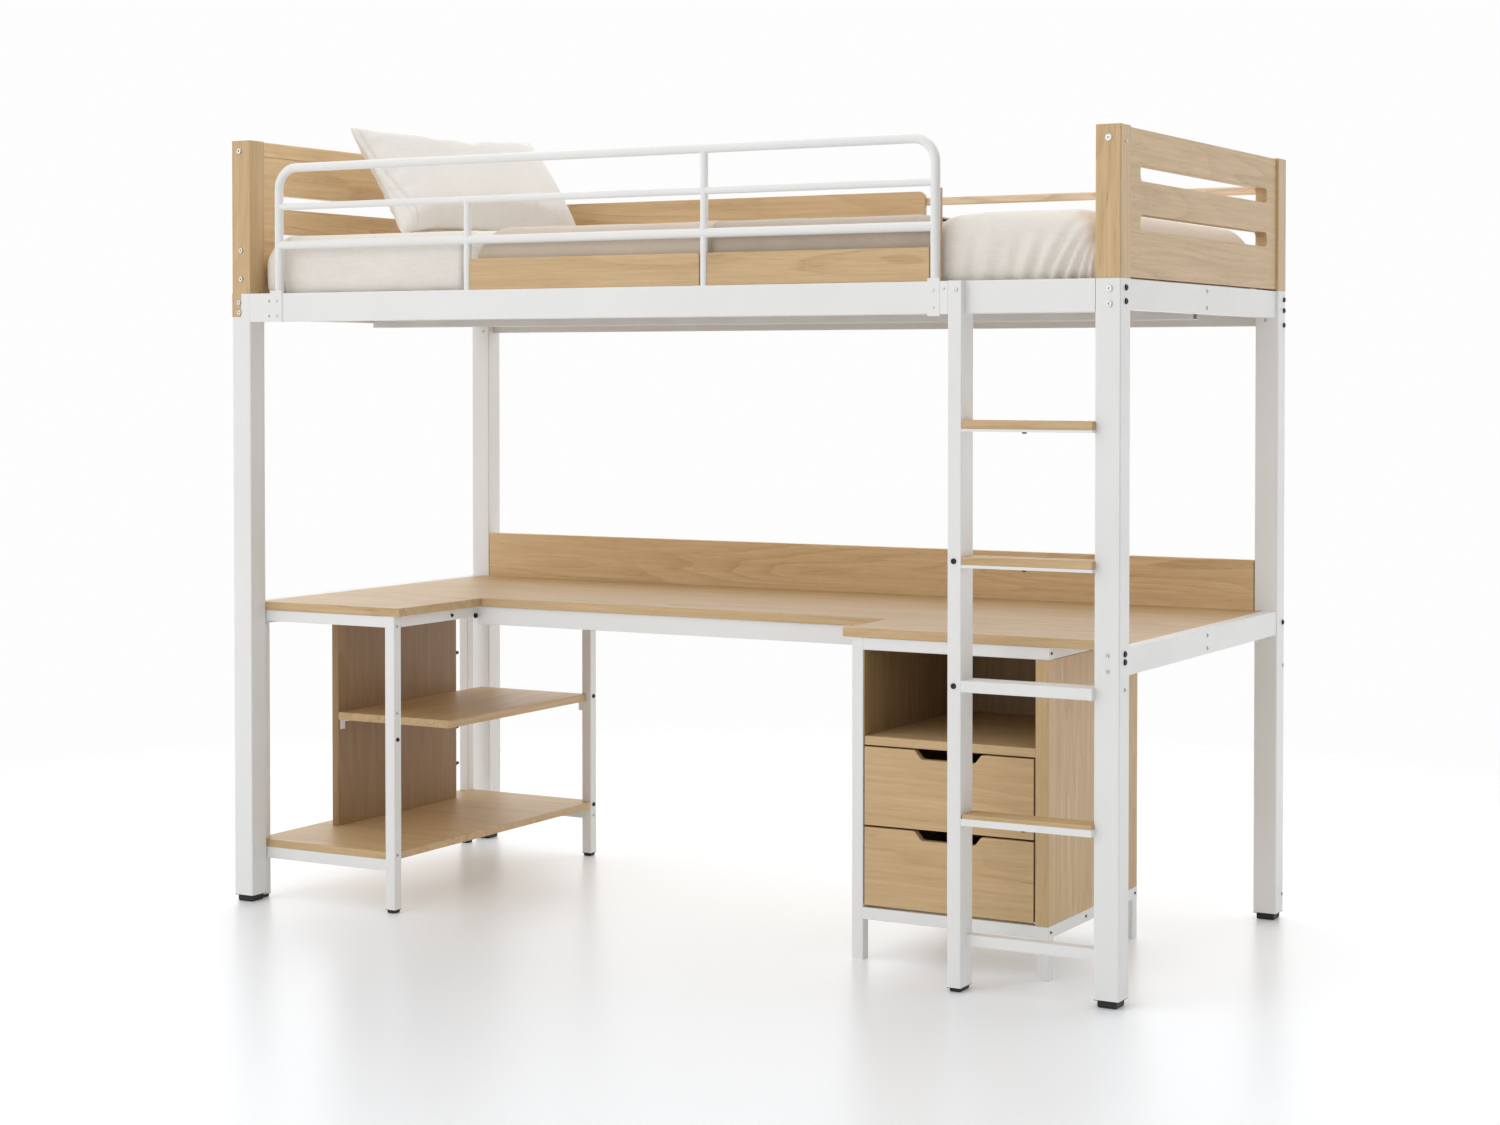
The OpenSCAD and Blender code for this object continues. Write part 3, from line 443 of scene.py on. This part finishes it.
# Painted shade on the right panel's inner face and on the drawer fronts' sides, in the gaps beside them
paint_shade_inside(boards["pedestal_right_panel"], both_sides=False)
paint_shade_inside(boards["upper_drawer_front"], both_sides=True)
paint_shade_inside(boards["lower_drawer_front"], both_sides=True)
# Painted light on the headboard's cap rail
soften("headboard_cap_rail", oak_headboard_painted_light, 0.003, 3)
# Painted highlight on the back guard rail
soften("back_guard_rail", oak_painted_highlight)
soften("bed_slats", pine, 0.002, 3)
for name in ("upper_drawer_box", "lower_drawer_box"):
    soften(name, board_x, 0.0008, 2)


# ---------- soft shapes ----------

def smoothstep(a, b, x):
    """Goes smoothly from 0 at a to 1 at b."""
    t = np.clip((x - a) / (b - a), 0, 1)
    return t * t * (3 - 2 * t)


def ridge(distance, width):
    """A rounded ridge: 1 at no distance, falling to 0 on both sides."""
    return np.exp(-(distance / width) ** 2)


def soft_noise(points, scale, seed):
    """Smooth noise from -1 to 1 at each point."""
    shift = Vector((seed, seed * 0.37, seed * 1.7))
    return np.array([noise.noise(Vector(p) * scale + shift) for p in points])


def set_points(mesh, points):
    """Moves the mesh's points."""
    mesh.vertices.foreach_set("co", np.asarray(points, np.float32).ravel())
    mesh.update()


def paint_seam_shade(mesh, strength):
    """Stores how much painted shade each point takes along a seam or hem."""
    layer = mesh.attributes.new("seam", "FLOAT", "POINT")
    layer.data.foreach_set("value", np.asarray(strength, np.float32))


def box_surface(low, high, radius, step):
    """A box with edges rounded to radius, in even quads of about step: (mesh, points, outward normals).

    The mesh's own points are still the sharp box's."""
    bm = bmesh.new()
    counts = [max(2, round((high[i] - low[i]) / step)) for i in range(3)]
    for axis in range(3):
        u, v = (axis + 1) % 3, (axis + 2) % 3
        for side in (0, 1):
            grid = {}
            for i in range(counts[u] + 1):
                for j in range(counts[v] + 1):
                    p = [0.0] * 3
                    p[axis] = (low, high)[side][axis]
                    p[u] = low[u] + (high[u] - low[u]) * i / counts[u]
                    p[v] = low[v] + (high[v] - low[v]) * j / counts[v]
                    grid[i, j] = bm.verts.new(p)
            for i in range(counts[u]):
                for j in range(counts[v]):
                    ring = [grid[i, j], grid[i + 1, j], grid[i + 1, j + 1], grid[i, j + 1]]
                    bm.faces.new(ring if side else ring[::-1])
    bmesh.ops.remove_doubles(bm, verts=bm.verts, dist=step * 0.02)
    mesh = bpy.data.meshes.new("block")
    bm.to_mesh(mesh)
    bm.free()
    p = np.array([v.co for v in mesh.vertices], float)
    inner = np.clip(p, np.array(low) + radius, np.array(high) - radius)
    out = p - inner
    length = np.linalg.norm(out, axis=1, keepdims=True)
    n = out / np.maximum(length, 1e-9)
    return mesh, inner + n * radius, n


# ---------- mattress and covers ----------

# How far the covers reach past their solids: towards each other, and behind the guard's right leg
COVER_MEET, COVER_PAST = 0.0027, 0.009
BLANKET_LEFT, COVER_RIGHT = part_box("blanket")[0].x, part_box("throw")[1].x + COVER_PAST
# How deep the covers press into the mattress
COVER_DIP = 0.008
# The sheet's front seams: distance from the mattress's head end
SHEET_SEAMS = (0.0695, 0.5445)
# Folds in the sheet: distance from the foot end, lean, bend, width, depth, share of the height they reach
FOLDS = ((0.2695, 0.10, 0.6, 0.016, 0.0095, 0.9), (0.2265, 0.16, 1.2, 0.020, 0.0095, 0.8),
         (0.1885, 0.12, 1.6, 0.014, 0.0100, 0.9), (0.1535, 0.22, 1.8, 0.012, 0.0140, 0.8),
         (0.1235, 0.30, 2.2, 0.010, 0.0120, 1.1), (0.0955, 0.32, 2.0, 0.009, 0.0150, 1.1),
         (0.0665, 0.25, 1.5, 0.008, 0.0160, 1.2), (0.0415, 0.15, 1.0, 0.007, 0.0140, 1.2),
         (0.0225, 0.08, 0.4, 0.006, 0.0110, 1.1))


def make_mattress():
    """The mattress in its fitted sheet: crowned, with seams and folds, lower under the covers."""
    edge_radius, grid_step = 0.036, 0.0062
    low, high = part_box("mattress")
    tall = high.z - low.z
    mesh, at, n = box_surface(low + Vector((0.004, 0.004, 0.001)),
                              high - Vector((0.004, 0.004, 0.004)), edge_radius, grid_step)
    x, y, z = at[:, 0], at[:, 1], at[:, 2] - low.z
    front = smoothstep(low.y + 0.0765, low.y + 0.0065, y)

    # Crown of the sides and the top
    out = 0.003 * np.sin(np.clip(z / tall, 0, 1) * math.pi)
    out += 0.003 * smoothstep(0.7 * tall, tall, z) * np.cos(y * 3.0)
    for place, slope, bend, width, depth, reach in FOLDS:
        rise = smoothstep(1.05 * reach * tall, 0.25 * reach * tall, z)
        out -= front * depth * rise * ridge(x - (high.x - place) - slope * z - bend * z * z, width)
    out += 0.0012 * soft_noise(at, 9.0, 3.0)

    # Seams down the front, and the slack between the second one and the blanket
    seam = np.zeros(len(at))
    for place in SHEET_SEAMS:
        seam += ridge(x - (low.x + place) + 0.9 * (z - 0.6 * tall) ** 2, 0.0032)
    seam *= front
    out -= 0.005 * seam
    slack = smoothstep(0.004, 0.012, x - (low.x + SHEET_SEAMS[1]))
    slack *= smoothstep(-0.01, 0.01, BLANKET_LEFT + 0.02 - x)
    out -= 0.007 * front * slack
    at = at + n * out[:, None]

    # How far the upper part is pressed down: under the covers, beside the throw and at the two ends
    covered = smoothstep(BLANKET_LEFT - 0.01, BLANKET_LEFT + 0.03, x)
    covered *= smoothstep(COVER_RIGHT + 0.02, COVER_RIGHT, x)
    rounding = 0.004 * smoothstep(COVER_RIGHT - 0.01, COVER_RIGHT, x)
    rounding *= smoothstep(COVER_RIGHT + 0.040, COVER_RIGHT + 0.012, x)
    rounding -= 0.004 * smoothstep(COVER_RIGHT + 0.03, COVER_RIGHT + 0.1, x)
    rounding += 0.034 * smoothstep(high.x - 0.0615, high.x + 0.0005, np.abs(x))
    at[:, 2] -= smoothstep(0.35 * tall, tall, z) * (COVER_DIP * covered + rounding)
    set_points(mesh, at)
    # Painted shade along the sheet's front seams
    paint_seam_shade(mesh, 0.8 * seam)
    mattress = new_piece("mattress_in_fitted_sheet", mesh, "frame", sheet_cotton)
    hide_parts("mattress")


def cover_path(front, rear, bottom, top):
    """Points (y, z) up the mattress's front, round its edge and back over its top."""
    radius = 0.034
    up_steps, bend_steps, back_steps = 12, 8, 60
    path = [(front, bottom)]
    for i in range(1, up_steps):
        path.append((front, bottom + (top - radius - bottom) * i / up_steps))
    for i in range(bend_steps + 1):
        a = math.pi - (math.pi / 2) * i / bend_steps
        path.append((front + radius + radius * math.cos(a), top - radius + radius * math.sin(a)))
    for i in range(1, back_steps + 1):
        y = front + radius + (rear - front - radius) * i / back_steps
        drop = max(0.0, y - (rear - 0.03))
        path.append((y, top - 0.35 * drop - 8 * drop * drop))
    return np.array(path)


def path_normals(path):
    """The unit normal of the path at each of its points, on its outer side."""
    way = np.gradient(path, axis=0)
    way /= np.linalg.norm(way, axis=1, keepdims=True)
    return np.c_[-way[:, 1], way[:, 0]]


def drape(name, node, material, seed, sweep, free_side, past, seams=()):
    """A cover over the mattress: flat on top, down over the front edge, with soft rumples and a hem.

    sweep leans its left edge inwards up the front, free_side is the edge with no cover beside it, past
    widens it to the left and the right, and seams are distances from its left edge."""
    thickness, column_width, corner = 0.004, 0.012, 0.035
    low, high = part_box(node)
    low.x -= past[0]
    high.x += past[1]
    mattress_low, mattress_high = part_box("mattress")
    path = cover_path(mattress_low.y - 0.0042, high.y - 0.001,
                      low.z + 0.003, mattress_high.z + 0.0025 - COVER_DIP)
    length = np.r_[0, np.cumsum(np.linalg.norm(np.diff(path, axis=0), axis=1))]
    rows, columns = len(path), max(8, round((high.x - low.x) / column_width))
    points = []
    for i in range(columns + 1):
        u = i / columns
        points.extend((low.x + (high.x - low.x) * u, y, z) for y, z in path)
    points = np.array(points)
    x, s = points[:, 0], np.tile(length, columns + 1)

    # Rounded lower corners, and the lean of the left edge; x follows each change
    for edge_x, sign in ((low.x, 1), (high.x, -1)):
        near = np.clip(corner - np.abs(x - edge_x), 0, corner)
        foot = np.clip(corner - s, 0, corner)
        round_off = corner - np.sqrt(np.clip(corner ** 2 - foot ** 2, 0, None))
        points[:, 0] += sign * round_off * (near / corner)
    edge = np.minimum(x - low.x, high.x - x)
    points[:, 0] += sweep * smoothstep(0.05, 0.15, s) * smoothstep(0.25, 0.0, x - low.x)

    # Rumples, the hem and the seams
    hem_in, hem_width = 0.016, 0.002
    hem = ridge(edge - hem_in, hem_width) + ridge(s - hem_in, hem_width)
    lift = 0.0022 * soft_noise(points, 6.0, seed) + 0.0010 * soft_noise(points, 17.0, seed + 5)
    lift -= 0.0012 * hem
    for place in seams:
        lift -= 0.0016 * ridge(x - (low.x + place) - 0.03 * s, 0.003)
    free = x - low.x if free_side == "left" else high.x - x
    points[:, 2] -= 0.006 * smoothstep(0.05, 0.0, free) * smoothstep(0.1, 0.14, s)
    outward = np.tile(path_normals(path), (columns + 1, 1))
    points[:, 1:] += outward * np.clip(lift + 0.0016, 0.0, None)[:, None]

    faces = [(i * rows + j, (i + 1) * rows + j, (i + 1) * rows + j + 1, i * rows + j + 1)
             for i in range(columns) for j in range(rows - 1)]
    mesh = mesh_from(name, points, faces)
    # Painted shade along the hem
    paint_seam_shade(mesh, np.clip(0.3 * hem, 0, 1))
    piece = new_piece(name, mesh, "frame", material)
    solid = piece.modifiers.new("thick", "SOLIDIFY")
    solid.thickness = thickness
    solid.offset = 1.0
    subdivide(piece, 1)
    apply_modifiers(piece)
    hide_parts(node)


make_mattress()
drape("folded_blanket", "blanket", blanket_cotton, seed=2.0, sweep=0.055,
      free_side="left", past=(0.0, COVER_MEET))
drape("grey_throw", "throw", throw_cotton, seed=8.0, sweep=0.0,
      free_side="right", past=(COVER_MEET, COVER_PAST), seams=(0.1977, 0.4477))


# ---------- pillow ----------

PILLOW_LEN, PILLOW_WIDTH = 0.643, 0.325


def pillow_blank(thick, step):
    """Two sheets sewn together round their edge and bulged to thick on each side: (points, faces)."""
    nx, ny = round(PILLOW_LEN / step), round(PILLOW_WIDTH / step)
    points, faces, index = [], [], {}
    for side in (1, -1):
        for i in range(nx + 1):
            for j in range(ny + 1):
                rim = i in (0, nx) or j in (0, ny)
                key = (i, j, 0 if rim else side)
                if key in index:
                    continue
                index[key] = len(points)
                u, v = i / nx * 2 - 1, j / ny * 2 - 1
                bulge = max(0.0, (1 - u ** 4) * (1 - v ** 4))
                points.append((PILLOW_LEN / 2 * u, PILLOW_WIDTH / 2 * v, 0 if rim else side * thick * bulge))
        for i in range(nx):
            for j in range(ny):
                ring = []
                for a, b in ((i, j), (i + 1, j), (i + 1, j + 1), (i, j + 1)):
                    rim = a in (0, nx) or b in (0, ny)
                    ring.append(index[a, b, 0 if rim else side])
                faces.append(tuple(ring if side > 0 else ring[::-1]))
    return points, faces


def inflate(piece, pressure, frames, cap):
    """Blows the piece up as cloth with no gravity, and limits how far a point may go."""
    rest = np.array([v.co for v in piece.data.vertices])
    cloth_mod = piece.modifiers.new("cloth", "CLOTH")
    settings = cloth_mod.settings
    settings.quality = 6
    settings.mass = 0.25
    settings.tension_stiffness = settings.compression_stiffness = 6
    settings.shear_stiffness = 2
    settings.bending_stiffness = 2.5
    settings.use_pressure = True
    settings.uniform_pressure_force = pressure
    settings.effector_weights.gravity = 0
    cloth_mod.collision_settings.use_collision = False
    for f in range(1, frames + 1):
        bpy.context.scene.frame_set(f)
    apply_modifiers(piece)
    bpy.context.scene.frame_set(1)
    move = np.array([v.co for v in piece.data.vertices]) - rest
    far = np.linalg.norm(move, axis=1, keepdims=True)
    set_points(piece.data, rest + move * np.minimum(1, cap / np.maximum(far, 1e-9)))


def finish_pillow(mesh):
    """Lets the upper edge sag beside the corner, and sews the case's two hem seams with their puckers."""
    p = np.array([v.co for v in mesh.vertices])
    n = np.array([v.normal for v in mesh.vertices])
    u, v = p[:, 0] / (PILLOW_LEN / 2), p[:, 1] / (PILLOW_WIDTH / 2)
    sag = 0.011 * smoothstep(-0.1, -0.9, u) + 0.013 * ridge(u + 0.32, 0.3)
    p[:, 1] -= smoothstep(0.0, 1.0, v) * sag
    p[:, 0] -= 0.014 * smoothstep(-0.3, -1.0, v) * smoothstep(-0.5, -0.95, u)
    p[:, 0] -= 0.010 * smoothstep(0.3, 1.0, v) * smoothstep(-0.5, -1.0, u)

    stitch_len, seam_width, seam_gap = 0.007, 0.0026, 0.013
    line = -PILLOW_LEN / 2 + 0.020 + 0.019 * (1 - v)
    stitch = 0.75 + 0.25 * np.sin(p[:, 1] * 2 * math.pi / stitch_len)
    seam = stitch * ridge(p[:, 0] - line, seam_width)
    seam += 0.6 * stitch * ridge(p[:, 0] - line + seam_gap, seam_width)
    p -= n * (0.0024 * seam)[:, None]
    away = p[:, 0] - line
    pucker = np.sin(p[:, 1] * 150 + 2.5 * soft_noise(p, 14.0, 4.0))
    pucker *= np.exp(-np.abs(away - 0.012) / 0.022)
    soft = soft_noise(p, 9.0, 1.0)
    p += n * (0.0011 * pucker * smoothstep(0.98, 0.7, np.abs(v)) + 0.0022 * soft)[:, None]
    set_points(mesh, p)
    # Painted shade along the stitched hem seams
    paint_seam_shade(mesh, 0.24 * seam)


def lean_pillow(mesh):
    """Leans the pillow, made lying flat, against the headboard, where its CAD solid stands."""
    across = Vector((0.14, 0.99, 0.0)).normalized()
    upward = Vector((-0.16, 0.02, 0.235)).normalized()
    outward = across.cross(upward)
    upward = outward.cross(across)
    lean = Matrix((across, upward, outward)).transposed().to_4x4()
    lean.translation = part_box("pillow")[0] + Vector((0.1567, 0.2821, 0.132))
    mesh.transform(lean)
    mesh.update()


def make_pillow():
    """The pillow in its case, blown up from two sheets."""
    points, faces = pillow_blank(thick=0.036, step=0.0105)
    pillow = new_piece("pillow_in_case", mesh_from("pillow_in_case", points, faces), "frame",
                       pillow_cotton)
    inflate(pillow, pressure=2.2, frames=20, cap=0.03)
    smooth = pillow.modifiers.new("smooth", "SMOOTH")
    smooth.factor, smooth.iterations = 0.5, 3
    subdivide(pillow, 2)
    apply_modifiers(pillow)
    finish_pillow(pillow.data)
    lean_pillow(pillow.data)
    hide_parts("pillow")


make_pillow()


# ---------- floor, light and camera ----------

# Direction and strength of the studio's bright walls
WALLS = (((0, 1, 0), 1.75), ((0, -1, 0), 0.85), ((-1, 0, 0), 0.64), ((1, 0, 0), 0.10))
WHITE = (1, 1, 1, 1)


def floor():
    """A pale floor that fades out into the white all round."""
    half = 9
    corners = [(-half, -half, 0), (half, -half, 0), (half, half, 0), (-half, half, 0)]
    mesh = mesh_from("floor", corners, [(0, 1, 2, 3)])
    slab = bpy.data.objects.new("floor", mesh)
    bpy.context.scene.collection.objects.link(slab)
    mat, tree, shader = graph("pale_floor")
    shader.inputs["Base Color"].default_value = (0.90, 0.925, 0.955, 1)
    shader.inputs["Emission Color"].default_value = WHITE
    shader.inputs["Emission Strength"].default_value = 0.10
    shader.inputs["Roughness"].default_value = 0.30
    shader.inputs["Specular IOR Level"].default_value = 0.3
    at = object_coords(tree, shift=(0, 0.2, 0))
    away = add(tree, "VectorMath", {0: at}, out="Value", operation="LENGTH")
    fade = ramp(tree, times(tree, away, 0.2), [(0.30, 0.0), (0.64, 1.0)])
    clear = add(tree, "BsdfTransparent")
    both = add(tree, "MixShader", {0: fade, 1: shader.outputs[0], 2: clear})
    out = next(n for n in tree.nodes if n.type == "OUTPUT_MATERIAL")
    tree.links.new(both, out.inputs[0])
    mesh.materials.append(mat)


def sky():
    """White where the camera looks; as light, a large bright wall on each of the four sides."""
    world = bpy.data.worlds.new("studio")
    bpy.context.scene.world = world
    world.use_nodes = True
    tree = world.node_tree
    tree.nodes.clear()
    out = tree.nodes.new("ShaderNodeOutputWorld")
    way = add(tree, "TexCoord", out="Generated")
    total = 0.0
    for direction, power in WALLS:
        facing = add(tree, "VectorMath", {0: way, 1: direction}, out="Value", operation="DOT_PRODUCT")
        wall = times(tree, math_node(tree, "MAXIMUM", facing, 0.0), power)
        total = math_node(tree, "ADD", wall, total)
    walls = add(tree, "Background", {"Color": WHITE, "Strength": total})
    gloss = add(tree, "Background", {"Color": WHITE, "Strength": 1.6})
    white = add(tree, "Background", {"Color": WHITE, "Strength": 0.985})
    path = tree.nodes.new("ShaderNodeLightPath").outputs
    shiny = add(tree, "MixShader", {0: path["Is Glossy Ray"], 1: walls, 2: gloss})
    both = add(tree, "MixShader", {0: path["Is Camera Ray"], 1: shiny, 2: white})
    tree.links.new(both, out.inputs[0])


def softbox(name, place, target, size, power):
    """A rectangular area light that faces the target."""
    data = bpy.data.lights.new(name, "AREA")
    data.shape = "RECTANGLE"
    data.size, data.size_y = size
    data.energy = power
    light = bpy.data.objects.new(name, data)
    bpy.context.scene.collection.objects.link(light)
    light.location = place
    light.rotation_euler = (Vector(target) - Vector(place)).to_track_quat("-Z", "Y").to_euler()


floor()
sky()
softbox("overhead", (0.2, -0.3, 4.6), (0, 0, 0), (5.0, 4.0), 58.5)
softbox("key", (-1.7, -4.8, 3.4), (0, 0, 0.9), (3.0, 2.4), 29)

camera = bpy.data.objects.new("camera", bpy.data.cameras.new("camera"))
bpy.context.scene.collection.objects.link(camera)
camera.location = (2.8127, -5.019, 1.1694)
camera.rotation_euler = (math.radians(88.75), 0, math.radians(29.24))
camera.data.sensor_width = 36
camera.data.lens = 63.7
camera.data.shift_y = -0.0884
bpy.context.scene.camera = camera
bpy.context.scene.view_settings.view_transform = "Standard"
